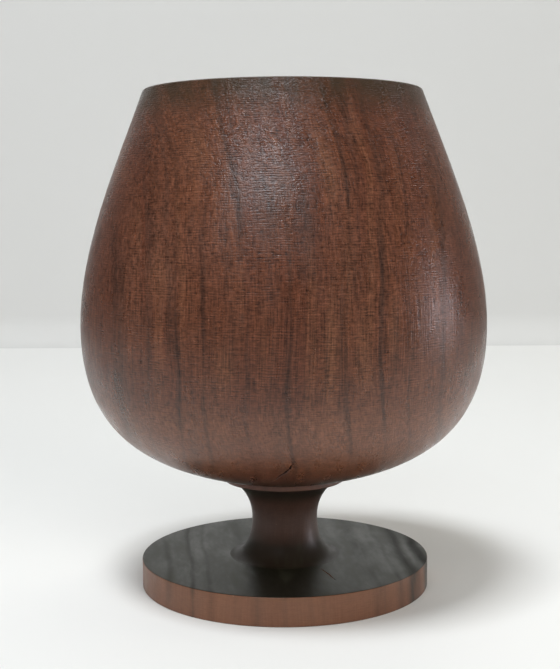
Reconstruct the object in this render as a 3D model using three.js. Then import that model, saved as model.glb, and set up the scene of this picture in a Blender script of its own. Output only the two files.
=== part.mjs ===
// A turned wooden goblet with a snifter-shaped cup, built as its turner builds it: a hollow bowl,
// a short waisted stem with a collar and a round tenon at each end, and a flat disc foot. A thin
// cured glue film fills the clearance round each tenon and holds the joint.
// Millimetres, +Z up, origin at the centre of the face that the foot stands on.

import * as THREE from 'three';

// Facets round the axis: the same on every piece, so that each tenon and its film fit facet to facet.
const FACETS = 64;

// Driving heights above the table.
const HEIGHT = 120;
const FOOT_HEIGHT = 6.8;
const WAIST_Z = 16.2;
const COLLAR_BOTTOM_Z = 25.6;
const COLLAR_TOP_Z = 26.9;
const BELLY_Z = 64;

// Driving radii of the outside.
const FOOT_RADIUS = 35.2;
const WAIST_RADIUS = 8.05;
const COLLAR_RADIUS = 14.75;
const BELLY_RADIUS = 49;
const RIM_RADIUS = 33.5;

// Outer curve of the bowl, as the reach of each curve handle and the slope at each open end.
const SEAT_RADIUS = 15;
const SEAT_REACH = 20.4;
const SEAT_RISE = 0.213;
const BELLY_REACH_DOWN = 24.5;
const BELLY_REACH_UP = 18.9;
const RIM_REACH = 14.9;
const RIM_LEAN = 0.367;
const LIP_RADIUS = 0.8;

// Inside of the bowl.
const RIM_WALL = 2.9;
const BELLY_WALL = 4;
const FLOOR_Z = 38.5;
const FLOOR_REACH = 27;
const INNER_REACH_DOWN = 25;

// Stem.
const FLARE_RADIUS = 13.6;
const FLARE_LAND = 0.3;
const FLARE_REACH = 3.4;
const WAIST_REACH_DOWN = 5.4;
const WAIST_REACH_UP = 5.6;
const COLLAR_REACH = 3;

// Tenons, mortises and the glue between them.
const UPPER_TENON_RADIUS = 7;
const UPPER_TENON_LENGTH = 7;
const LOWER_TENON_RADIUS = 6;
const LOWER_TENON_LENGTH = 4;
const TENON_CHAMFER = 0.5;
const GLUE_LINE = 0.1;
const GLUE_POOL = 0.2;

// Foot.
const FOOT_TOP_BEVEL = 0.25;
const FOOT_BOTTOM_BEVEL = 0.35;
const RING_INNER_RADIUS = 27;
const RECESS_DEPTH = 1;
const RECESS_SLOPE = 1.5;

// Points along a cubic curve in (radius, height), without its first point.
function curve(start, startHandle, endHandle, end, steps) {
  const bezier = new THREE.CubicBezierCurve(point(start), point(startHandle), point(endHandle), point(end));
  return bezier.getPoints(steps).slice(1);
}

function point([radius, z]) {
  return new THREE.Vector2(radius, z);
}

// Points along an anticlockwise arc in (radius, height) about a centre, without its first point.
function arc([radius, z], size, from, to, steps) {
  const round = new THREE.EllipseCurve(radius, z, size, size, from, to);
  return round.getPoints(steps).slice(1);
}

// One turned piece: a closed profile in (radius, height) revolved about the upright axis.
function turned(name, profile, material) {
  const geometry = new THREE.LatheGeometry(profile, FACETS);
  geometry.rotateX(Math.PI / 2);
  const mesh = new THREE.Mesh(geometry, material);
  mesh.name = name;
  return mesh;
}

const bowlWood = new THREE.MeshStandardMaterial({ color: 0x6a4436, roughness: 0.5, metalness: 0 });
const footWood = new THREE.MeshStandardMaterial({ color: 0x5c4238, roughness: 0.42, metalness: 0 });
const curedGlue = new THREE.MeshStandardMaterial({ color: 0xc9b183, roughness: 0.35, metalness: 0 });

// The cup: outer belly, rounded lip and inner hollow, with a blind mortise in the thick bottom.
function bowl() {
  const mortiseRadius = UPPER_TENON_RADIUS + GLUE_LINE;
  const mortiseTop = COLLAR_TOP_Z + UPPER_TENON_LENGTH + GLUE_POOL;
  const lipZ = HEIGHT - LIP_RADIUS;
  const outerLipRadius = RIM_RADIUS - LIP_RADIUS;
  const innerLipRadius = RIM_RADIUS - RIM_WALL + LIP_RADIUS;
  const lean = Math.atan(RIM_LEAN);
  const outerEdge = [outerLipRadius + LIP_RADIUS * Math.cos(lean), lipZ + LIP_RADIUS * Math.sin(lean)];
  const innerEdge = [innerLipRadius - LIP_RADIUS, lipZ];
  const innerRadius = BELLY_RADIUS - BELLY_WALL;
  const profile = [
    point([0, mortiseTop]),
    point([mortiseRadius, mortiseTop]),
    point([mortiseRadius, COLLAR_TOP_Z]),
    point([SEAT_RADIUS, COLLAR_TOP_Z]),
    ...curve(
      [SEAT_RADIUS, COLLAR_TOP_Z],
      [SEAT_RADIUS + SEAT_REACH, COLLAR_TOP_Z + SEAT_REACH * SEAT_RISE],
      [BELLY_RADIUS, BELLY_Z - BELLY_REACH_DOWN],
      [BELLY_RADIUS, BELLY_Z],
      12,
    ),
    ...curve(
      [BELLY_RADIUS, BELLY_Z],
      [BELLY_RADIUS, BELLY_Z + BELLY_REACH_UP],
      [outerEdge[0] + RIM_REACH * RIM_LEAN, outerEdge[1] - RIM_REACH],
      outerEdge,
      9,
    ),
    ...arc([outerLipRadius, lipZ], LIP_RADIUS, lean, Math.PI / 2, 2),
    point([innerLipRadius, HEIGHT]),
    ...arc([innerLipRadius, lipZ], LIP_RADIUS, Math.PI / 2, Math.PI, 2),
    ...curve(
      innerEdge,
      [innerEdge[0] + RIM_REACH * RIM_LEAN, innerEdge[1] - RIM_REACH],
      [innerRadius, BELLY_Z + BELLY_REACH_UP],
      [innerRadius, BELLY_Z],
      8,
    ),
    ...curve(
      [innerRadius, BELLY_Z],
      [innerRadius, BELLY_Z - INNER_REACH_DOWN],
      [FLOOR_REACH, FLOOR_Z],
      [0, FLOOR_Z],
      10,
    ),
  ];
  return turned('bowl', profile, bowlWood);
}

// The waisted stem: lower tenon, flare on the foot, coves up to the collar, and the upper tenon.
function stem() {
  const lowerEnd = FOOT_HEIGHT - LOWER_TENON_LENGTH;
  const upperEnd = COLLAR_TOP_Z + UPPER_TENON_LENGTH;
  const flareTop = FOOT_HEIGHT + FLARE_LAND;
  const profile = [
    point([0, lowerEnd]),
    point([LOWER_TENON_RADIUS - TENON_CHAMFER, lowerEnd]),
    point([LOWER_TENON_RADIUS, lowerEnd + TENON_CHAMFER]),
    point([LOWER_TENON_RADIUS, FOOT_HEIGHT]),
    point([FLARE_RADIUS, FOOT_HEIGHT]),
    point([FLARE_RADIUS, flareTop]),
    ...curve(
      [FLARE_RADIUS, flareTop],
      [FLARE_RADIUS - FLARE_REACH, flareTop],
      [WAIST_RADIUS, WAIST_Z - WAIST_REACH_DOWN],
      [WAIST_RADIUS, WAIST_Z],
      8,
    ),
    ...curve(
      [WAIST_RADIUS, WAIST_Z],
      [WAIST_RADIUS, WAIST_Z + WAIST_REACH_UP],
      [COLLAR_RADIUS - COLLAR_REACH, COLLAR_BOTTOM_Z],
      [COLLAR_RADIUS, COLLAR_BOTTOM_Z],
      8,
    ),
    point([COLLAR_RADIUS, COLLAR_TOP_Z]),
    point([UPPER_TENON_RADIUS, COLLAR_TOP_Z]),
    point([UPPER_TENON_RADIUS, upperEnd - TENON_CHAMFER]),
    point([UPPER_TENON_RADIUS - TENON_CHAMFER, upperEnd]),
    point([0, upperEnd]),
  ];
  return turned('stem', profile, footWood);
}

// The disc foot: a mortise in its top, and a shallow recess below that leaves a flat standing ring.
function foot() {
  const mortiseRadius = LOWER_TENON_RADIUS + GLUE_LINE;
  const mortiseBottom = FOOT_HEIGHT - LOWER_TENON_LENGTH - GLUE_POOL;
  const profile = [
    point([0, RECESS_DEPTH]),
    point([RING_INNER_RADIUS - RECESS_SLOPE, RECESS_DEPTH]),
    point([RING_INNER_RADIUS, 0]),
    point([FOOT_RADIUS - FOOT_BOTTOM_BEVEL, 0]),
    point([FOOT_RADIUS, FOOT_BOTTOM_BEVEL]),
    point([FOOT_RADIUS, FOOT_HEIGHT - FOOT_TOP_BEVEL]),
    point([FOOT_RADIUS - FOOT_TOP_BEVEL, FOOT_HEIGHT]),
    point([mortiseRadius, FOOT_HEIGHT]),
    point([mortiseRadius, mortiseBottom]),
    point([0, mortiseBottom]),
  ];
  return turned('foot', profile, footWood);
}

// Cured glue round the upper tenon and over its end, as high as the mortise in the bowl.
function upperGlueFilm() {
  const end = COLLAR_TOP_Z + UPPER_TENON_LENGTH;
  const outer = UPPER_TENON_RADIUS + GLUE_LINE;
  const profile = [
    point([0, end]),
    point([UPPER_TENON_RADIUS - TENON_CHAMFER, end]),
    point([UPPER_TENON_RADIUS, end - TENON_CHAMFER]),
    point([UPPER_TENON_RADIUS, COLLAR_TOP_Z]),
    point([outer, COLLAR_TOP_Z]),
    point([outer, end + GLUE_POOL]),
    point([0, end + GLUE_POOL]),
  ];
  return turned('upper_glue_film', profile, curedGlue);
}

// Cured glue round the lower tenon and under its end, down to the floor of the foot's mortise.
function lowerGlueFilm() {
  const end = FOOT_HEIGHT - LOWER_TENON_LENGTH;
  const outer = LOWER_TENON_RADIUS + GLUE_LINE;
  const profile = [
    point([0, end - GLUE_POOL]),
    point([outer, end - GLUE_POOL]),
    point([outer, FOOT_HEIGHT]),
    point([LOWER_TENON_RADIUS, FOOT_HEIGHT]),
    point([LOWER_TENON_RADIUS, end + TENON_CHAMFER]),
    point([LOWER_TENON_RADIUS - TENON_CHAMFER, end]),
    point([0, end]),
  ];
  return turned('lower_glue_film', profile, curedGlue);
}

const goblet = new THREE.Group();
goblet.add(bowl(), stem(), foot(), upperGlueFilm(), lowerGlueFilm());

export default goblet;
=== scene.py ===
import math

import bpy
import numpy as np
from mathutils import Matrix, Vector


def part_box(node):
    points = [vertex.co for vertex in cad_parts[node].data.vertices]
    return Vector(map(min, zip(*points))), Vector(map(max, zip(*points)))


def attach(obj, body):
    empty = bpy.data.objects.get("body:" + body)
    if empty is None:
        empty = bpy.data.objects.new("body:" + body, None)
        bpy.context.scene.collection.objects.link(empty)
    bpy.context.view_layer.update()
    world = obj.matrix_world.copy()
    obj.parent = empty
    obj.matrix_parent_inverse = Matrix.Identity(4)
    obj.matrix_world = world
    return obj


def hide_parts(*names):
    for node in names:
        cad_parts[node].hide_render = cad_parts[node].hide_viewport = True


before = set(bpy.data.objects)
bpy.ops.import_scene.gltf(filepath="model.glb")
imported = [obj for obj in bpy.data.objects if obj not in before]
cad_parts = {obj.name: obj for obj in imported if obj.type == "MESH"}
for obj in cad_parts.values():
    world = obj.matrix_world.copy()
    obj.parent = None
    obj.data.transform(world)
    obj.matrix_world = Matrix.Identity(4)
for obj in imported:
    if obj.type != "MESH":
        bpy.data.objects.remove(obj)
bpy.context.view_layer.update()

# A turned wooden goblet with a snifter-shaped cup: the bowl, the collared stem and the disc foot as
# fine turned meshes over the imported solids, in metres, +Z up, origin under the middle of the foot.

MM = 0.001

# ---------------------------------------------------------------- sizes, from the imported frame

BOWL_LOW, BOWL_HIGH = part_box("bowl")
STEM_LOW, STEM_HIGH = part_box("stem")
FOOT_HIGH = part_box("foot")[1]
GLUE_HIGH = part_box("upper_glue_film")[1]
LOWER_GLUE_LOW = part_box("lower_glue_film")[0]

RIM_Z = BOWL_HIGH.z
SEAT_Z = BOWL_LOW.z
BELLY_RADIUS = BOWL_HIGH.x
COLLAR_RADIUS = STEM_HIGH.x
FOOT_RADIUS = FOOT_HIGH.x
FOOT_TOP_Z = FOOT_HIGH.z

# Outside of the bowl: a cubic from the collar's seat to the belly, and one on to the lip.
BELLY_Z = 64 * MM
SEAT_RADIUS = COLLAR_RADIUS + 0.25 * MM
SEAT_REACH = 20.4 * MM
SEAT_RISE = 0.213
BELLY_REACH_DOWN = 24.5 * MM
BELLY_REACH_UP = 18.9 * MM
RIM_RADIUS = 33.5 * MM
RIM_REACH = 14.9 * MM
RIM_LEAN = 0.367
LIP_RADIUS = 0.8 * MM

# Inside of the bowl.
RIM_WALL = 2.9 * MM
BELLY_WALL = 4 * MM
FLOOR_Z = 38.5 * MM
FLOOR_REACH = 27 * MM
INNER_REACH_DOWN = 25 * MM

# Stem and foot.
COLLAR_BOTTOM_Z = SEAT_Z - 1.3 * MM
COLLAR_REACH = 3 * MM
WAIST_RADIUS = 8.05 * MM
WAIST_Z = 16.2 * MM
WAIST_REACH_UP = 5.6 * MM
WAIST_REACH_DOWN = 5.4 * MM
FLARE_RADIUS = 13.6 * MM
FLARE_REACH = 3.4 * MM
FLARE_LAND = 0.02 * MM
TENON_CHAMFER = 0.5 * MM
UPPER_TENON_RADIUS = 7 * MM
LOWER_TENON_RADIUS = 6 * MM
GLUE_LINE = 0.1 * MM
EDGE_ROUND = 0.22 * MM
RECESS_DEPTH = 1 * MM
RING_INNER_RADIUS = 27 * MM
RECESS_SLOPE = 1.5 * MM

# ---------------------------------------------------------------- turned meshes

CURVE_SAMPLES = 1200
SHARP_EDGE = math.radians(40)


def spaced(points, spacing):
    """The same path with its points about spacing apart, ends kept."""
    steps = np.hypot(*np.diff(points, axis=0).T)
    along = np.concatenate([[0], np.cumsum(steps)])
    count = max(2, int(round(along[-1] / spacing)) + 1)
    wanted = np.linspace(0, along[-1], count)
    return np.column_stack([np.interp(wanted, along, points[:, axis]) for axis in (0, 1)])


def cubic(start, start_handle, end_handle, end, spacing):
    """A cubic curve in (radius, height)."""
    t = np.linspace(0, 1, CURVE_SAMPLES)[:, None]
    a, b, c, d = (np.array(p, float) for p in (start, start_handle, end_handle, end))
    curve = (1 - t) ** 3 * a + 3 * (1 - t) ** 2 * t * b + 3 * (1 - t) * t**2 * c + t**3 * d
    return spaced(curve, spacing)


def arc(centre, radius, from_angle, to_angle, steps):
    """A circular arc in (radius, height), angles in degrees from the outward direction."""
    a = np.radians(np.linspace(from_angle, to_angle, steps + 1))
    return np.column_stack([centre[0] + radius * np.cos(a), centre[1] + radius * np.sin(a)])


def line(start, end, spacing):
    return spaced(np.array([start, end], float), spacing)


def joined(*stretches):
    """One profile from stretches that meet end to end, each shared point once."""
    kept = [np.atleast_2d(stretches[0])]
    for stretch in stretches[1:]:
        stretch = np.atleast_2d(stretch)
        repeats = np.allclose(stretch[0], kept[-1][-1], atol=1e-9)
        kept.append(stretch[1:] if repeats else stretch)
    return np.vstack(kept)


def bearings(count, dense_from=None, dense_to=None, dense_step=None):
    """Angles round the axis, in radians from the front (-Y) towards +X, finer in one stretch."""
    even = np.linspace(-180, 180, count, endpoint=False)
    if dense_from is not None:
        even = even[(even < dense_from) | (even > dense_to)]
        even = np.sort(np.concatenate([even, np.arange(dense_from, dense_to, dense_step)]))
    return np.radians(even)


def attribute(mesh, name, lengths):
    """One length for each vertex, kept in millimetres for the materials to read."""
    made = mesh.attributes.new(name, "FLOAT", "POINT")
    made.data.foreach_set("value", (lengths / MM).astype(np.float32))


def turned(name, profile, angles, relief):
    """A closed solid of revolution; relief(radius, z, angle) is how far a point sinks in."""
    along = np.concatenate([[0], np.cumsum(np.hypot(*np.diff(profile, axis=0).T))])
    normal = np.gradient(profile, axis=0)[:, ::-1] * (1, -1)
    normal /= np.maximum(np.hypot(*normal.T), 1e-12)[:, None]
    rings = np.nonzero(profile[:, 0] > 1e-7)[0]
    sines, cosines = np.sin(angles), -np.cos(angles)
    radius = profile[rings, 0][:, None] * np.ones(len(angles))
    height = profile[rings, 1][:, None] * np.ones(len(angles))
    sink = relief(radius, height, np.broadcast_to(angles, radius.shape))
    radius = radius - sink * normal[rings, 0][:, None]
    height = height - sink * normal[rings, 1][:, None]
    places = np.stack([radius * sines, radius * cosines, height], -1).reshape(-1, 3)
    poles = [[0, 0, profile[i, 1]] for i in (0, -1)]
    around, last = len(angles), len(places)
    index = np.arange(len(places)).reshape(len(rings), around)
    nexts = np.roll(index, -1, axis=1)
    quads = np.stack([index[:-1], nexts[:-1], nexts[1:], index[1:]], -1).reshape(-1, 4)
    faces = quads.tolist()
    faces += [[last, int(b), int(a)] for a, b in zip(index[0], nexts[0])]
    faces += [[last + 1, int(a), int(b)] for a, b in zip(index[-1], nexts[-1])]
    mesh = bpy.data.meshes.new(name)
    mesh.from_pydata(np.vstack([places, poles]).tolist(), [], faces)
    travelled = np.concatenate([np.repeat(along[rings], around), along[[0, -1]]])
    attribute(mesh, "along_profile", travelled)
    attribute(mesh, "sunk", np.concatenate([sink.ravel(), [0, 0]]))
    mesh.shade_smooth()
    mesh.set_sharp_from_angle(angle=SHARP_EDGE)
    mesh.validate()
    piece = bpy.data.objects.new(name, mesh)
    bpy.context.scene.collection.objects.link(piece)
    return piece


# ---------------------------------------------------------------- relief in the wood


def ripple(z, seed, period, height, waves=7):
    """Slow unevenness that hand turning leaves: waves round one period, between 0 and height."""
    rng = np.random.default_rng(seed)
    total = np.zeros_like(z)
    for _ in range(waves):
        length = period * rng.uniform(0.6, 1.9)
        total += np.sin(2 * math.pi * z / length + rng.uniform(0, 2 * math.pi))
    return height * (0.5 + 0.5 * total / waves)


# Checks in the wood, each as (radius in mm, degrees to the right of the front, half width in mm).
BOWL_CHECK = [
    (29.8, -6.4, 0.03),
    (31.6, -4.2, 0.12),
    (33.6, -2.3, 0.2),
    (34.7, -1.5, 0.24),
    (35.8, 0.1, 0.36),
    (36.6, 0.6, 0.3),
    (37.6, 1.7, 0.24),
    (38.6, 2.0, 0.16),
    (39.8, 2.9, 0.03),
]
FOOT_CHECK = [
    (16.1, 31.6, 0.02),
    (18.0, 30.4, 0.09),
    (20.5, 29.4, 0.12),
    (23.0, 27.9, 0.09),
    (25.8, 26.7, 0.02),
]
# How deep a check is, and the half width in mm from which it is that deep.
CHECK_DEPTH = 0.9 * MM
FULL_DEPTH_HALF = 0.2


def check(path, radius, angle):
    """A narrow valley along a path, with slightly jagged sides."""
    places, degrees, halves = np.array(path).T
    r = radius / MM
    middle = np.interp(r, places, degrees) + 0.1 * np.sin(r * 9.1) + 0.06 * np.sin(r * 23.7 + 1.0)
    half = np.interp(r, places, halves, left=0.0, right=0.0)
    off = np.radians(np.abs(np.degrees(angle) - middle)) * r
    valley = np.clip(1 - off / np.maximum(half, 1e-6), 0, 1)
    return CHECK_DEPTH * valley**0.7 * np.minimum(half / FULL_DEPTH_HALF, 1)


def bowl_relief(radius, z, angle):
    slow = ripple(z, seed=3, period=7 * MM, height=0.03 * MM)
    drift = ripple(z + 0.004 * np.sin(angle), seed=8, period=19 * MM, height=0.03 * MM)
    under = (z > SEAT_Z + 0.1 * MM) & (z < FLOOR_Z - 1 * MM)
    return slow + drift + np.where(under, check(BOWL_CHECK, radius, angle), 0.0)


def stem_relief(radius, z, angle):
    turned_part = (z > FOOT_TOP_Z + 1 * MM) & (z < COLLAR_BOTTOM_Z)
    return np.where(turned_part, ripple(z, seed=5, period=4 * MM, height=0.03 * MM), 0.0)


def foot_relief(radius, z, angle):
    on_top = z > FOOT_TOP_Z - 0.01 * MM
    return np.where(on_top, check(FOOT_CHECK, radius, angle), 0.0)


# ---------------------------------------------------------------- pieces


def bowl_profile():
    fine, medium, coarse = 0.16 * MM, 0.4 * MM, 0.8 * MM
    lip_z = RIM_Z - LIP_RADIUS
    lean = math.degrees(math.atan(RIM_LEAN))
    outer_lip = arc((RIM_RADIUS - LIP_RADIUS, lip_z), LIP_RADIUS, lean, 90, 8)
    inner_lip = arc((RIM_RADIUS - RIM_WALL + LIP_RADIUS, lip_z), LIP_RADIUS, 90, 180, 8)
    mortise_radius = UPPER_TENON_RADIUS + GLUE_LINE
    under = cubic(
        (SEAT_RADIUS, SEAT_Z),
        (SEAT_RADIUS + SEAT_REACH, SEAT_Z + SEAT_REACH * SEAT_RISE),
        (BELLY_RADIUS, BELLY_Z - BELLY_REACH_DOWN),
        (BELLY_RADIUS, BELLY_Z),
        fine,
    )
    upper = cubic(
        (BELLY_RADIUS, BELLY_Z),
        (BELLY_RADIUS, BELLY_Z + BELLY_REACH_UP),
        tuple(outer_lip[0] + np.array([RIM_REACH * RIM_LEAN, -RIM_REACH])),
        tuple(outer_lip[0]),
        medium,
    )
    inner_radius = BELLY_RADIUS - BELLY_WALL
    hollow = cubic(
        tuple(inner_lip[-1]),
        tuple(inner_lip[-1] + np.array([RIM_REACH * RIM_LEAN, -RIM_REACH])),
        (inner_radius, BELLY_Z + BELLY_REACH_UP),
        (inner_radius, BELLY_Z),
        coarse,
    )
    cup_floor = cubic(
        (inner_radius, BELLY_Z),
        (inner_radius, BELLY_Z - INNER_REACH_DOWN),
        (FLOOR_REACH, FLOOR_Z),
        (0, FLOOR_Z),
        coarse,
    )
    return joined(
        line((0, GLUE_HIGH.z), (mortise_radius, GLUE_HIGH.z), 3 * MM),
        line((mortise_radius, GLUE_HIGH.z), (mortise_radius, SEAT_Z), 3 * MM),
        line((mortise_radius, SEAT_Z), (SEAT_RADIUS, SEAT_Z), 2 * MM),
        under,
        upper,
        outer_lip,
        inner_lip,
        hollow,
        cup_floor,
    )


def stem_profile():
    fine = 0.2 * MM
    flare_top = FOOT_TOP_Z + FLARE_LAND
    return joined(
        line((0, STEM_LOW.z), (LOWER_TENON_RADIUS - TENON_CHAMFER, STEM_LOW.z), 3 * MM),
        line(
            (LOWER_TENON_RADIUS - TENON_CHAMFER, STEM_LOW.z),
            (LOWER_TENON_RADIUS, STEM_LOW.z + TENON_CHAMFER),
            1 * MM,
        ),
        line(
            (LOWER_TENON_RADIUS, STEM_LOW.z + TENON_CHAMFER),
            (LOWER_TENON_RADIUS, FOOT_TOP_Z),
            2 * MM,
        ),
        line((LOWER_TENON_RADIUS, FOOT_TOP_Z), (FLARE_RADIUS, FOOT_TOP_Z), 3 * MM),
        line((FLARE_RADIUS, FOOT_TOP_Z), (FLARE_RADIUS, flare_top), 0.02 * MM),
        cubic(
            (FLARE_RADIUS, flare_top),
            (FLARE_RADIUS - FLARE_REACH, flare_top),
            (WAIST_RADIUS, WAIST_Z - WAIST_REACH_DOWN),
            (WAIST_RADIUS, WAIST_Z),
            fine,
        ),
        cubic(
            (WAIST_RADIUS, WAIST_Z),
            (WAIST_RADIUS, WAIST_Z + WAIST_REACH_UP),
            (COLLAR_RADIUS - COLLAR_REACH, COLLAR_BOTTOM_Z),
            (COLLAR_RADIUS - EDGE_ROUND, COLLAR_BOTTOM_Z),
            fine,
        ),
        arc((COLLAR_RADIUS - EDGE_ROUND, COLLAR_BOTTOM_Z + EDGE_ROUND), EDGE_ROUND, -90, 0, 5),
        line(
            (COLLAR_RADIUS, COLLAR_BOTTOM_Z + EDGE_ROUND),
            (COLLAR_RADIUS, SEAT_Z - EDGE_ROUND / 2),
            fine,
        ),
        arc((COLLAR_RADIUS - EDGE_ROUND / 2, SEAT_Z - EDGE_ROUND / 2), EDGE_ROUND / 2, 0, 90, 4),
        line((COLLAR_RADIUS - EDGE_ROUND / 2, SEAT_Z), (UPPER_TENON_RADIUS, SEAT_Z), 2 * MM),
        line(
            (UPPER_TENON_RADIUS, SEAT_Z),
            (UPPER_TENON_RADIUS, STEM_HIGH.z - TENON_CHAMFER),
            2 * MM,
        ),
        line(
            (UPPER_TENON_RADIUS, STEM_HIGH.z - TENON_CHAMFER),
            (UPPER_TENON_RADIUS - TENON_CHAMFER, STEM_HIGH.z),
            1 * MM,
        ),
        line((UPPER_TENON_RADIUS - TENON_CHAMFER, STEM_HIGH.z), (0, STEM_HIGH.z), 3 * MM),
    )


def foot_profile():
    edge = EDGE_ROUND
    mortise_radius = LOWER_TENON_RADIUS + GLUE_LINE
    return joined(
        line((0, RECESS_DEPTH), (RING_INNER_RADIUS - RECESS_SLOPE, RECESS_DEPTH), 1.5 * MM),
        line((RING_INNER_RADIUS - RECESS_SLOPE, RECESS_DEPTH), (RING_INNER_RADIUS, 0), 0.5 * MM),
        line((RING_INNER_RADIUS, 0), (FOOT_RADIUS - edge, 0), 1 * MM),
        arc((FOOT_RADIUS - edge, edge), edge, -90, 0, 5),
        line((FOOT_RADIUS, edge), (FOOT_RADIUS, FOOT_TOP_Z - edge), 0.4 * MM),
        arc((FOOT_RADIUS - edge, FOOT_TOP_Z - edge), edge, 0, 90, 5),
        line((FOOT_RADIUS - edge, FOOT_TOP_Z), (mortise_radius, FOOT_TOP_Z), 0.4 * MM),
        line((mortise_radius, FOOT_TOP_Z), (mortise_radius, LOWER_GLUE_LOW.z), 2 * MM),
        line((mortise_radius, LOWER_GLUE_LOW.z), (0, LOWER_GLUE_LOW.z), 3 * MM),
    )


# ---------------------------------------------------------------- materials


class Recipe:
    """Builds one material's node tree: each call adds a node and returns its output."""

    def __init__(self, name):
        self.material = bpy.data.materials.new(name)
        self.material.use_nodes = True
        self.tree = self.material.node_tree
        self.shader = self.tree.nodes["Principled BSDF"]

    def node(self, kind, inputs=(), output=0, **settings):
        made = self.tree.nodes.new(kind)
        for key, value in settings.items():
            setattr(made, key, value)
        for key, value in dict(inputs).items():
            self.feed(made.inputs[key], value)
        return made.outputs[output]

    def feed(self, socket, value):
        if isinstance(value, bpy.types.NodeSocket):
            self.tree.links.new(value, socket)
        else:
            socket.default_value = value

    def math(self, operation, *values):
        return self.node("ShaderNodeMath", dict(enumerate(values)), operation=operation)

    def span(self, value, low, high, to_low=0.0, to_high=1.0, smooth=True):
        """value carried from low..high to to_low..to_high, held at the ends."""
        kind = "SMOOTHSTEP" if smooth else "LINEAR"
        inputs = {"Value": value, "From Min": low, "From Max": high}
        inputs |= {"To Min": to_low, "To Max": to_high}
        return self.node("ShaderNodeMapRange", inputs, interpolation_type=kind)

    def scaled(self, vector, factor):
        inputs = {0: vector, "Scale": factor}
        return self.node("ShaderNodeVectorMath", inputs, operation="SCALE")

    def vector(self, x, y, z):
        return self.node("ShaderNodeCombineXYZ", {"X": x, "Y": y, "Z": z})

    def noise(self, place, per_mm, detail=2.0, roughness=0.5):
        """Noise whose features repeat per_mm times in a millimetre along each axis of place."""
        stretched = self.node("ShaderNodeVectorMath", {0: place, 1: per_mm}, operation="MULTIPLY")
        inputs = {"Vector": stretched, "Scale": 1.0, "Detail": detail, "Roughness": roughness}
        return self.node("ShaderNodeTexNoise", inputs)

    def mix(self, factor, first, second):
        inputs = {0: factor, 6: first, 7: second}
        return self.node("ShaderNodeMix", inputs, output=2, data_type="RGBA", clamp_factor=True)

    def ramp(self, value, stops):
        """Grey values at places along 0..1, eased between."""
        output = self.node("ShaderNodeValToRGB", {"Fac": value})
        bands = output.node.color_ramp
        bands.interpolation = "EASE"
        bands.elements.remove(bands.elements[-1])
        bands.elements[0].position = stops[0][0]
        bands.elements[0].color = (stops[0][1],) * 3 + (1,)
        for place, level in stops[1:]:
            bands.elements.new(place).color = (level, level, level, 1)
        return output

    def smudges(self, place, marks):
        """The strongest of soft round marks, each as (centre, half sizes, strength)."""
        strongest = 0.0
        for centre, half, strength in marks:
            inverse = tuple(1 / h for h in half)
            shift = tuple(-c / h for c, h in zip(centre, half))
            inputs = {0: place, 1: inverse, 2: shift}
            offset = self.node("ShaderNodeVectorMath", inputs, operation="MULTIPLY_ADD")
            distance = self.node("ShaderNodeVectorMath", {0: offset}, output=1, operation="LENGTH")
            strongest = self.math("MAXIMUM", strongest, self.span(distance, 0, 1, strength, 0))
        return strongest

    def bump(self, height, distance, normal=None):
        inputs = {"Height": height, "Distance": distance, "Strength": 1.0}
        if normal is not None:
            inputs["Normal"] = normal
        return self.node("ShaderNodeBump", inputs)


# Linear colours of the wood, and of its end grain on each piece.
HEARTWOOD = (0.124, 0.0455, 0.0240, 1)
RED_BAND = (0.101, 0.0345, 0.0190, 1)
GOLDEN_BAND = (0.160, 0.0660, 0.0340, 1)
# Dark bands in the grain; the same colour is also painted shade on the stem below the collar.
DARK_BAND_AND_PAINTED_SHADE = (0.054, 0.0270, 0.0190, 1)
STREAK = (0.022, 0.013, 0.0100, 1)
TORN_FIBRE = (0.300, 0.180, 0.1150, 1)
# Painted light: the foot is made paler for the table's bounce light, and the lower belly for its
# reflection of the table.
PAINTED_TABLE_LIGHT = (0.260, 0.120, 0.0700, 1)
# The colour the bowl darkens towards near the rim.
DARKER_RIM = (0.048, 0.030, 0.0170, 1)
BOWL_END = (0.030, 0.015, 0.0095, 1)
STEM_END = (0.022, 0.015, 0.0100, 1)
FOOT_END = (0.010, 0.010, 0.0060, 1)
END_RAY = (0.042, 0.042, 0.0260, 1)
CHECK_SHADE = (0.006, 0.004, 0.0030, 1)

# Dark lines of the growth rings, as (place across the grain, half width, darkness), in mm; on the
# foot some are partly painted shade.
UPPER_STREAKS = [
    (-31.0, 2.2, 0.25),
    (-25.7, 0.8, 0.5),
    (-14.2, 0.9, 0.5),
    (9.0, 0.8, 0.6),
    (17.0, 0.8, 0.3),
    (22.8, 0.8, 0.35),
    (30.5, 2.0, 0.25),
]
LOWER_STREAKS = [
    (-39.0, 2.0, 0.3),
    (-26.6, 0.7, 0.6),
    (-21.6, 0.7, 0.5),
    (-13.0, 0.8, 0.25),
    (-4.0, 0.7, 0.6),
    (8.4, 0.7, 0.45),
    (16.3, 0.7, 0.65),
    (22.6, 0.6, 0.4),
    (31.5, 2.0, 0.25),
]
# On the foot, the wide strong lines at 25.4 and 30.2 darken its right end: partly dark streaks in
# the wood, partly painted shade on the side turned away from the light.
FOOT_STREAKS_AND_PAINTED_SHADE = [
    (-33.0, 1.2, 0.3),
    (-27.3, 0.8, 0.8),
    (-23.5, 0.9, 0.25),
    (-14.0, 1.6, 0.2),
    (15.5, 3.2, 0.4),
    (21.6, 0.9, 0.5),
    (25.4, 2.4, 1.3),
    (30.2, 2.3, 1.2),
]
GRAIN_SPAN = 50.0

# How much more a surface leans from the start of end grain to full end grain, and the most it may.
END_FADE = 0.35
NEARLY_FLAT = 0.985

# The lathe tool's thread, in mm between lines, and how far its phase drifts.
THREAD_PITCH = 0.53
THREAD_DRIFT = 14.0

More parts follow.
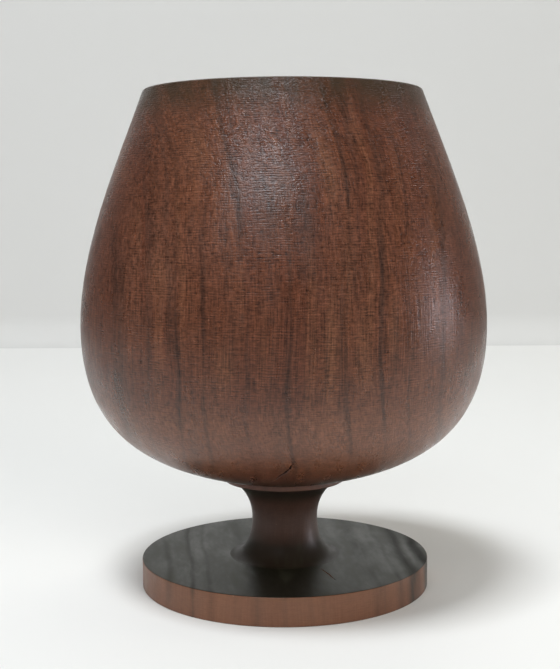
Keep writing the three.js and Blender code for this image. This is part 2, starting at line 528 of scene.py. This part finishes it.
# Marks on the front of the bowl, as (across the grain, -Y side, height), half sizes, strength.
FRONT, DEEP = -45.0, 28.0
DARK_MARKS = [
    ((-14.0, FRONT, 97.0), (2.6, DEEP, 15.0), 0.55),
    ((-3.4, FRONT, 97.0), (4.2, DEEP, 17.0), 0.55),
    ((2.5, FRONT, 108.0), (3.0, DEEP, 9.0), 0.3),
    ((-0.5, FRONT, 88.0), (3.8, DEEP, 17.0), 0.75),
    ((-8.0, FRONT, 94.0), (5.0, DEEP, 16.0), 0.8),
    ((-37.5, FRONT, 77.0), (3.0, DEEP, 10.0), 0.45),
    ((-33.0, FRONT, 69.0), (2.4, DEEP, 6.0), 0.4),
    ((12.5, FRONT, 80.0), (3.4, DEEP, 7.0), 0.35),
    ((34.0, FRONT, 101.0), (7.0, DEEP, 22.0), 0.9),
    ((-35.0, FRONT, 100.0), (4.0, DEEP, 20.0), 0.4),
    ((-14.2, FRONT, 69.9), (1.0, DEEP, 1.6), 0.7),
    ((-10.5, FRONT, 72.0), (0.8, DEEP, 1.0), 0.6),
    ((-8.4, FRONT, 69.2), (1.5, DEEP, 1.3), 0.8),
    ((-5.0, FRONT, 69.1), (0.9, DEEP, 1.1), 0.5),
]
GOLDEN_MARKS = [
    ((-20.5, FRONT, 106.0), (4.5, DEEP, 10.0), 0.7),
    ((5.6, FRONT, 101.0), (2.6, DEEP, 15.0), 0.75),
    ((13.5, FRONT, 108.0), (3.5, DEEP, 9.0), 0.5),
    ((-30.0, FRONT, 78.0), (4.0, DEEP, 10.0), 0.5),
    ((-17.5, FRONT, 59.0), (3.0, DEEP, 8.0), 0.6),
    ((5.2, FRONT, 62.0), (2.2, DEEP, 20.0), 0.8),
    ((12.5, FRONT, 62.0), (3.2, DEEP, 15.0), 0.6),
    ((19.0, FRONT, 66.0), (2.0, DEEP, 12.0), 0.6),
]


def streak_stops(streaks):
    """Ramp stops for a row of dark lines across the grain, from -GRAIN_SPAN to GRAIN_SPAN."""
    stops = [(0.0, 0.0)]
    for place, half, darkness in streaks:
        for offset, level in ((-half, 0.0), (0.0, darkness), (half, 0.0)):
            stops.append(((place + offset + GRAIN_SPAN) / (2 * GRAIN_SPAN), level))
    return stops


def turned_wood(
    name,
    streaks,
    end_colour,
    end_from,
    shift=0.0,
    painted_light_level=0.0,
    marks_and_painted_reflection=False,
    crisp=1.0,
    gloss=0.3,
    tint=1.0,
):
    """Dark reddish-brown wood with upright grain, fine lathe lines and a satin finish.

    streaks are the dark lines above and below the belly. end_from is a pair: how far the surface
    has to lean down, and how far up, before it starts to count as end grain. shift moves the grain
    sideways, in mm. painted_light_level above 0 makes the wood paler as painted light, and below 0
    paints shade over what is under the collar's lower edge. marks_and_painted_reflection adds the
    marks, a painted reflection that makes the lower belly paler, and a darker rim, which only the
    bowl has. crisp is how strongly the fibres and the lathe's thread show, gloss is the roughness
    that the satin varies about, and tint is the blue part of the sheen's colour.
    """
    r = Recipe(name)
    coordinates = r.node("ShaderNodeTexCoord", output=3).node
    in_mm = r.scaled(coordinates.outputs[3], 1 / MM)
    x, y, z = r.node("ShaderNodeSeparateXYZ", {0: in_mm}).node.outputs
    facing = r.node("ShaderNodeSeparateXYZ", {0: coordinates.outputs[1]}, output=2)
    along = r.node("ShaderNodeAttribute", attribute_name="along_profile", output=2)
    sunk = r.node("ShaderNodeAttribute", attribute_name="sunk", output=2)

    # Where a point lies across the growth rings: nearly flat sheets, bent near rim and seat.
    wander = r.noise(in_mm, (0.05, 0.05, 0.03), detail=1.0)
    across = r.math("MULTIPLY_ADD", y, 0.1, x)
    across = r.math("ADD", across, r.span(z, 94, 122, 0, 4.6))
    across = r.math("ADD", across, r.span(z, 52, 28, 0, -3.5))
    across = r.math("ADD", across, r.span(wander, 0.3, 0.7, shift - 0.8, shift + 0.8, smooth=False))
    grain = r.vector(across, y, z)

    # Colour of the rings from broad to fine.
    broad = r.noise(grain, (0.10, 0.012, 0.010))
    bands = r.noise(grain, (0.45, 0.05, 0.014), detail=3.0, roughness=0.6)
    fibre = r.noise(grain, (2.7, 1.2, 0.10), detail=2.0, roughness=0.7)
    base = r.mix(r.span(broad, 0.32, 0.68), RED_BAND, HEARTWOOD)
    golden = r.span(bands, 0.5, 0.72, 0, 0.4)
    dark = r.span(bands, 0.5, 0.28, 0, 0.5)
    if marks_and_painted_reflection:
        golden = r.math("MAXIMUM", golden, r.smudges(grain, GOLDEN_MARKS))
        patchy = r.span(r.noise(grain, (0.7, 0.1, 0.12), detail=3.0), 0.35, 0.6, 0.45, 1.0)
        dark = r.math("MAXIMUM", dark, r.math("MULTIPLY", r.smudges(grain, DARK_MARKS), patchy))
    base = r.mix(golden, base, GOLDEN_BAND)
    base = r.mix(dark, base, DARK_BAND_AND_PAINTED_SHADE)
    # Painted shade: below 0 the stem is darkened below the collar's lower edge, where the bowl
    # shades it; above 0 the wood is made paler as painted light.
    if painted_light_level < 0:
        collar = COLLAR_BOTTOM_Z / MM
        base = r.mix(r.span(z, collar - 0.2, collar + 0.2, -painted_light_level, 0), base, DARK_BAND_AND_PAINTED_SHADE)
    else:
        base = r.mix(painted_light_level, base, PAINTED_TABLE_LIGHT)
    if marks_and_painted_reflection:
        # Painted reflection: the lower belly is made paler, standing in for the bright table that it
        # mirrors.
        painted_table_reflection = r.math("MULTIPLY", r.span(z, 53, 45), r.span(z, 33, 38, 0, 0.26))
        base = r.mix(painted_table_reflection, base, PAINTED_TABLE_LIGHT)

    # Dark ring lines, broken along their length; on the foot two of them are partly painted shade.
    spot = r.math("MULTIPLY_ADD", across, 0.5 / GRAIN_SPAN, 0.5)
    upper, lower = (r.ramp(spot, streak_stops(row)) for row in streaks)
    streak = r.mix(r.span(z, 92, 76), upper, lower)
    broken = r.noise(grain, (0.3, 0.02, 0.07))
    streak = r.math("MULTIPLY", streak, r.span(broken, 0.3, 0.6, 0.35, 1.1))
    base = r.mix(streak, base, STREAK)

    # Fine upright fibres, and the close thread left by the lathe tool, broken along its length.
    ringed = r.vector(x, y, along)
    phase = r.math("MULTIPLY", r.noise(ringed, (0.08, 0.08, 0.25)), THREAD_DRIFT)
    thread = r.math("SINE", r.math("MULTIPLY_ADD", along, math.tau / THREAD_PITCH, phase))
    cut = r.noise(ringed, (0.7, 0.7, 2.3), detail=2.0, roughness=0.75)
    worn = r.span(r.noise(ringed, (0.2, 0.2, 0.4)), 0.4, 0.65, 0.02, 0.10)
    lines = r.math("MULTIPLY_ADD", thread, worn, cut)
    relief = r.math("MULTIPLY", r.math("SUBTRACT", fibre, 0.5), 2.0 * crisp)
    relief = r.math("MULTIPLY_ADD", r.math("SUBTRACT", lines, 0.5), 2.1 * crisp, relief)
    relief = r.math("MULTIPLY_ADD", relief, r.span(z, 34, 60, 0.65, 1.0), 1.0)
    base = r.scaled(base, r.math("MAXIMUM", relief, 0.3))
    torn = r.noise(in_mm, (1.7, 1.7, 1.1), detail=1.0)
    base = r.mix(r.span(torn, 0.76, 0.84, 0, 0.35), base, TORN_FIBRE)

    # End grain drinks the finish and goes dark, where the surface lies across the fibres; on the
    # stem the low thresholds make this partly painted shade under the bowl.
    down, up = end_from
    end = r.span(r.math("MULTIPLY", facing, -1.0), down, min(down + END_FADE, NEARLY_FLAT))
    end = r.math("MAXIMUM", end, r.span(facing, up, min(up + END_FADE, NEARLY_FLAT)))
    mottle = r.noise(grain, (0.26, 0.08, 0.1), detail=4.0, roughness=0.62)
    end_grain = r.mix(streak, end_colour, CHECK_SHADE)
    end_grain = r.mix(r.span(mottle, 0.5, 0.72, 0, 0.5), end_grain, END_RAY)
    base = r.mix(end, base, end_grain)
    if marks_and_painted_reflection:
        # Darker towards the rim, broken along the grain.
        rim = r.math("MULTIPLY", r.span(z, 110, 119.5), r.span(broken, 0.3, 0.6, 0.55, 0.95))
        base = r.mix(rim, base, DARKER_RIM)
    base = r.mix(r.span(sunk, 0.1, 0.4), base, CHECK_SHADE)
    r.feed(r.shader.inputs["Base Color"], base)

    satin = r.span(mottle, 0.3, 0.7, gloss - 0.08, gloss + 0.10, smooth=False)
    dull = r.math("MULTIPLY", streak, end)
    r.feed(r.shader.inputs["Roughness"], r.math("MULTIPLY_ADD", dull, 0.22, satin))
    r.shader.inputs["Specular Tint"].default_value = (1.0, 1.0, tint, 1)
    r.shader.inputs["IOR"].default_value = 1.5
    across_fibres = r.math("SUBTRACT", 1.0, end)
    thread_height = r.span(z, 90, 114, 0.06 * crisp * MM, 0.34 * crisp * MM)
    normal = r.bump(r.math("MULTIPLY", lines, across_fibres), thread_height)
    normal = r.bump(r.math("MULTIPLY", fibre, across_fibres), 0.07 * crisp * MM, normal)
    r.feed(r.shader.inputs["Normal"], normal)
    return r.material


def cured_glue():
    r = Recipe("cured_glue")
    place = r.node("ShaderNodeTexCoord", output=3)
    cloud = r.noise(place, (900.0, 900.0, 900.0), detail=3.0)
    honey = r.mix(r.span(cloud, 0.3, 0.7), (0.62, 0.46, 0.20, 1), (0.50, 0.34, 0.13, 1))
    r.feed(r.shader.inputs["Base Color"], honey)
    r.feed(r.shader.inputs["Roughness"], r.span(cloud, 0.3, 0.7, 0.25, 0.45))
    r.feed(r.shader.inputs["Normal"], r.bump(cloud, 0.03 * MM))
    return r.material


# Painted shade on the stage: how dark the paint gets, and where it starts to darken and is darkest,
# outside the camera's view, standing in for the room falling into shade away from the lights.
PAINTED_SHADE_LEVEL = 0.28
TABLE_FRONT_FADE = (-95 * MM, -165 * MM)
TABLE_SIDE_FADE = (190 * MM, 330 * MM)
WALL_SIDE_FADE = (230 * MM, 420 * MM)


def studio_paint(name, colour, fade):
    """Matt paint that darkens away from the object: fade(recipe, x, y) is how far, from 0 to 1."""
    r = Recipe(name)
    place = r.node("ShaderNodeTexCoord", output=3)
    x, y, _ = r.node("ShaderNodeSeparateXYZ", {0: place}).node.outputs
    # Painted shade: the paint darkens away from the object, standing in for the room falling into
    # shade.
    dim = tuple(c * PAINTED_SHADE_LEVEL for c in colour)
    r.feed(r.shader.inputs["Base Color"], r.mix(fade(r, x, y), (*colour, 1), (*dim, 1)))
    r.shader.inputs["Roughness"].default_value = 0.7
    r.shader.inputs["Specular IOR Level"].default_value = 0.2
    return r.material


def fade_outside_view(r, x, y):
    front = r.span(y, *TABLE_FRONT_FADE, 0, 0.85)
    return r.math("MAXIMUM", front, r.span(r.math("ABSOLUTE", x), *TABLE_SIDE_FADE, 0, 0.5))


def fade_to_sides(r, x, y):
    return r.span(r.math("ABSOLUTE", x), *WALL_SIDE_FADE)


# ---------------------------------------------------------------- camera, stage and light

CAMERA_PLACE = (-0.9 * MM, -293.9 * MM, 92.27 * MM)
CAMERA_LENS = 65.08
CAMERA_PITCH = 6.004
CAMERA_ROLL = -0.323
WALL_Y = 525 * MM
WALL_BEND = 20 * MM
WALL_TOP = 2.5
STAGE_HALF = 3.0

# Lights aim at the object's middle, and their sizes are given as seen from LIGHT_DISTANCE.
OBJECT_MIDDLE = 0.06
LIGHT_DISTANCE = 0.9
WINDOW_COLOUR = (0.80, 0.91, 1.0)


def add_camera():
    data = bpy.data.cameras.new("camera")
    data.lens = CAMERA_LENS
    data.sensor_width = 36
    data.clip_start = 0.01
    camera = bpy.data.objects.new("camera", data)
    bpy.context.scene.collection.objects.link(camera)
    look = Matrix.Rotation(math.radians(90 - CAMERA_PITCH), 4, "X")
    roll = Matrix.Rotation(math.radians(CAMERA_ROLL), 4, "Z")
    camera.matrix_world = Matrix.Translation(CAMERA_PLACE) @ look @ roll
    bpy.context.scene.camera = camera


def stage_sheet(name, path, half_width, material):
    """A sheet swept along X through a path in (y, z)."""
    places = [(side * half_width, y, z) for y, z in path for side in (-1, 1)]
    faces = [(2 * i, 2 * i + 1, 2 * i + 3, 2 * i + 2) for i in range(len(path) - 1)]
    mesh = bpy.data.meshes.new(name)
    mesh.from_pydata(places, [], faces)
    mesh.shade_smooth()
    mesh.materials.append(material)
    sheet = bpy.data.objects.new(name, mesh)
    bpy.context.scene.collection.objects.link(sheet)


def add_stage():
    bend = WALL_BEND
    turn = [
        (WALL_Y - bend + bend * math.sin(math.radians(a)), bend - bend * math.cos(math.radians(a)))
        for a in range(0, 91, 6)
    ]
    table = studio_paint("table_paint", (0.83, 0.83, 0.82), fade_outside_view)
    wall = studio_paint("wall_paint", (0.68, 0.68, 0.675), fade_to_sides)
    stage_sheet("table", [(-STAGE_HALF, 0), (WALL_Y - bend, 0)], STAGE_HALF, table)
    stage_sheet("wall", [*turn, (WALL_Y, WALL_TOP)], STAGE_HALF, wall)


def direction(azimuth, elevation, distance):
    """A place round the object: azimuth 0 is in front (-Y), 90 to the right (+X)."""
    a, e = math.radians(azimuth), math.radians(elevation)
    return (
        distance * math.sin(a) * math.cos(e),
        -distance * math.cos(a) * math.cos(e),
        distance * math.sin(e) + OBJECT_MIDDLE,
    )


def area_light(
    name,
    azimuth,
    elevation,
    size,
    radiance,
    colour,
    glossy=True,
    diffuse=True,
    distance=LIGHT_DISTANCE,
):
    """A soft rectangular light turned to the object's middle.

    glossy says whether it shows as sheen, and diffuse whether it lights the colour of things.
    """
    data = bpy.data.lights.new(name, "AREA")
    data.shape = "RECTANGLE"
    data.size, data.size_y = (side * distance / LIGHT_DISTANCE for side in size)
    data.energy = radiance * math.pi * data.size * data.size_y
    data.color = colour
    light = bpy.data.objects.new(name, data)
    light.visible_glossy = glossy
    light.visible_diffuse = diffuse
    bpy.context.scene.collection.objects.link(light)
    place = direction(azimuth, elevation, distance)
    aim = (Vector((0, 0, OBJECT_MIDDLE)) - Vector(place)).to_track_quat("-Z", "Y")
    light.matrix_world = Matrix.Translation(place) @ aim.to_matrix().to_4x4()


def add_light():
    world = bpy.data.worlds.new("room")
    world.use_nodes = True
    background = world.node_tree.nodes["Background"]
    background.inputs["Color"].default_value = (1.0, 0.97, 0.92, 1)
    background.inputs["Strength"].default_value = 0.06
    bpy.context.scene.world = world
    ceiling_white = (0.94, 0.975, 1.0)
    area_light("ceiling", -37, 75, (0.26, 0.18), 38.5, ceiling_white, glossy=False, distance=1.4)
    area_light("window", -15, 56, (0.40, 0.24), 16.5, WINDOW_COLOUR, diffuse=False)
    area_light("low_window", -24, 34, (0.20, 0.16), 1.6, WINDOW_COLOUR, diffuse=False)
    area_light("upper_wall", -12, 45, (0.60, 0.30), 3.0, (0.93, 0.975, 1.0), glossy=False)
    area_light("left_wall", -80, 14, (0.50, 0.30), 4.2, (1.0, 0.97, 0.92), glossy=False)
    area_light("right_window", 93, 3, (0.14, 0.22), 11.0, (0.97, 0.93, 1.0), diffuse=False)
    area_light("right_wall", 112, 16, (0.36, 0.36), 3.4, (1.0, 0.95, 0.80), glossy=False)
    area_light("front_wall", 32, 20, (0.50, 0.40), 5.2, (1.0, 0.97, 0.91), glossy=False)
    area_light("rear_wall", 165, 50, (0.40, 0.30), 3.0, (1.0, 0.97, 0.88), glossy=False)
    bpy.context.scene.view_settings.view_transform = "Standard"


# ---------------------------------------------------------------- assembly


def dress(piece, material, node):
    piece.data.materials.append(material)
    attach(piece, "root")
    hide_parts(node)


def build():
    bowl = turned("bowl_turned", bowl_profile(), bearings(320, -9, 6, 0.13), bowl_relief)
    streaks = (UPPER_STREAKS, LOWER_STREAKS)
    wood = turned_wood("bowl_wood", streaks, BOWL_END, end_from=(0.86, 0.86), marks_and_painted_reflection=True)
    dress(bowl, wood, "bowl")
    stem = turned("stem_turned", stem_profile(), bearings(256), stem_relief)
    wood = turned_wood(
        "stem_wood",
        ([], []),
        STEM_END,
        # Painted shade under the bowl: the low end-grain thresholds darken the cove and the flare,
        # partly as real end grain, and the negative level darkens everything below the collar.
        end_from=(0.35, 0.08),
        shift=7.0,
        painted_light_level=-0.9,
        crisp=0.4,
        gloss=0.44,
    )
    dress(stem, wood, "stem")
    foot = turned("foot_turned", foot_profile(), bearings(256, 24, 34, 0.25), foot_relief)
    streaks = (FOOT_STREAKS_AND_PAINTED_SHADE, FOOT_STREAKS_AND_PAINTED_SHADE)
    wood = turned_wood(
        "foot_wood",
        streaks,
        FOOT_END,
        end_from=(0.6, 0.6),
        # Painted light: the foot is made paler, standing in for the bounce light from the bright
        # table.
        painted_light_level=0.35,
        crisp=0.3,
        gloss=0.38,
        tint=0.87,
    )
    dress(foot, wood, "foot")
    glue = cured_glue()
    for node in ("upper_glue_film", "lower_glue_film"):
        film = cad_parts[node]
        film.data.materials.clear()
        film.data.materials.append(glue)


add_camera()
add_stage()
add_light()
build()
